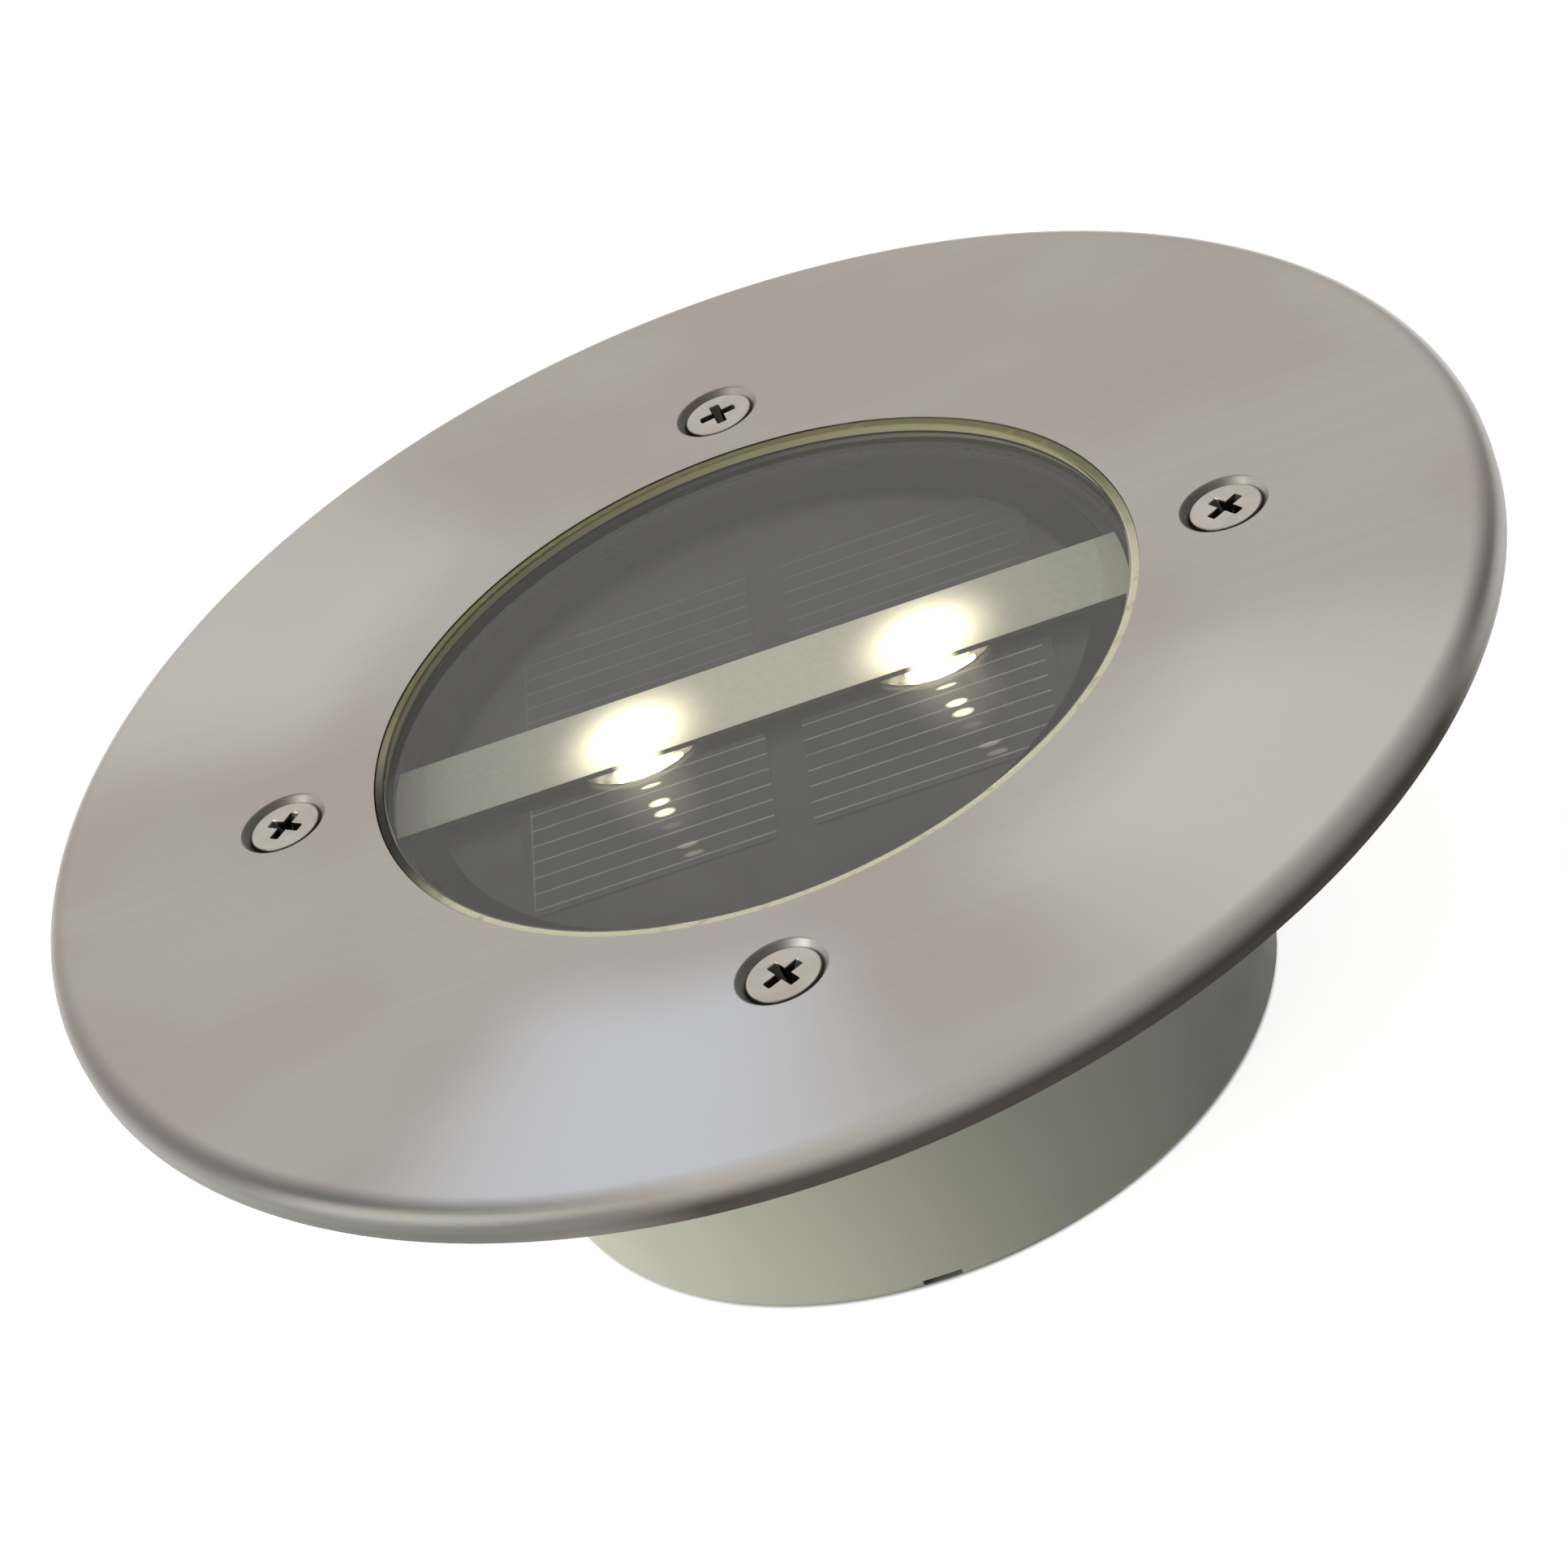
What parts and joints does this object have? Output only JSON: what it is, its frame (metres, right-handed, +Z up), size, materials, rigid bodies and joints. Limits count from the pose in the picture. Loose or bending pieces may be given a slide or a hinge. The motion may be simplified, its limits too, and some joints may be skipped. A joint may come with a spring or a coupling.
{
  "type": "solar in-ground light",
  "caption": "Round solar in-ground light: brushed steel cover plate over a clear window with solar cells and two lamps, above a short round plastic cup.",
  "frame": {"origin": "centre of the cup's underside, on the plane that the light stands on", "axes": "+Z up through the centre of the cover plate, +X along the pale bar that the two lamps shine through, +Y towards the switch"},
  "size_m": [0.12, 0.12, 0.0392],
  "materials": {
    "brushed_steel": "brushed in one direction, satin",
    "screw_steel": "bright plated",
    "cream_silicone": "translucent cream silicone",
    "clear_window": "polished clear polycarbonate",
    "pale_bar": "matte pale grey-green",
    "clear_collar": "ribbed clear acrylic",
    "lamp_lens": "clear epoxy, lit warm white",
    "tinned_wire": "tinned",
    "solar_cell": "dark silicon under clear resin, fine silver lines",
    "panel_board": "dark board under clear resin",
    "black_plastic": "moulded, satin",
    "green_board": "solder mask",
    "screw_zinc": "zinc plated",
    "chip_black": "moulded epoxy",
    "choke_winding": "enamelled winding",
    "capacitor_sleeve": "shrunk sleeve",
    "red_wire": "wire insulation",
    "black_wire": "wire insulation",
    "orange_wire": "wire insulation",
    "white_plastic": "moulded, satin",
    "battery_sleeve": "shrunk sleeve, plain",
    "nickel_contact": "nickel plated",
    "switch_black": "moulded",
    "black_rubber": "matte rubber",
    "cup_plastic": "moulded off-white with a green-grey cast, satin"
  },
  "bodies": {
    "cup_body": {"cup": "cup_plastic", "flange_gasket": "black_rubber"},
    "unit": {"window_seal": "cream_silicone", "window": "clear_window", "light_bar": "pale_bar", "lamp_collars": "clear_collar", "lamps": "lamp_lens", "lamp_leads": "tinned_wire", "solar_cells": "solar_cell", "solar_board": "panel_board", "panel_retainer": "black_plastic", "carrier": "black_plastic", "circuit_board": "green_board", "board_screws": "screw_zinc", "driver_chip": "chip_black", "inductor": "choke_winding", "capacitor": "capacitor_sleeve", "resistors": "chip_black", "panel_wire_red": "red_wire", "panel_wire_black": "black_wire", "battery_holder": "white_plastic", "holder_screws": "screw_zinc", "battery": "battery_sleeve", "battery_button": "nickel_contact", "contact_plate": "nickel_contact", "spring_plate": "nickel_contact", "contact_spring": "nickel_contact", "battery_wire_red": "red_wire", "battery_wire_black": "black_wire", "switch_body": "switch_black", "switch_pins": "tinned_wire", "switch_wires": "orange_wire"},
    "cover": {"cover_plate": "brushed_steel", "cover_screws": "screw_steel"},
    "knob": {"switch_knob": "black_plastic"}
  },
  "joints": [
    {"name": "unit_lift", "type": "slide", "parent": "cup_body", "child": "unit", "axis": [0, 0, 1], "range_m": [0, 0.045]},
    {"name": "cover_lift", "type": "slide", "parent": "unit", "child": "cover", "axis": [0, 0, 1], "range_m": [0, 0.02]},
    {"name": "switch_slide", "type": "slide", "parent": "unit", "child": "knob", "axis": [1, 0, 0], "range_m": [-0.0025, 0]}
  ]
}
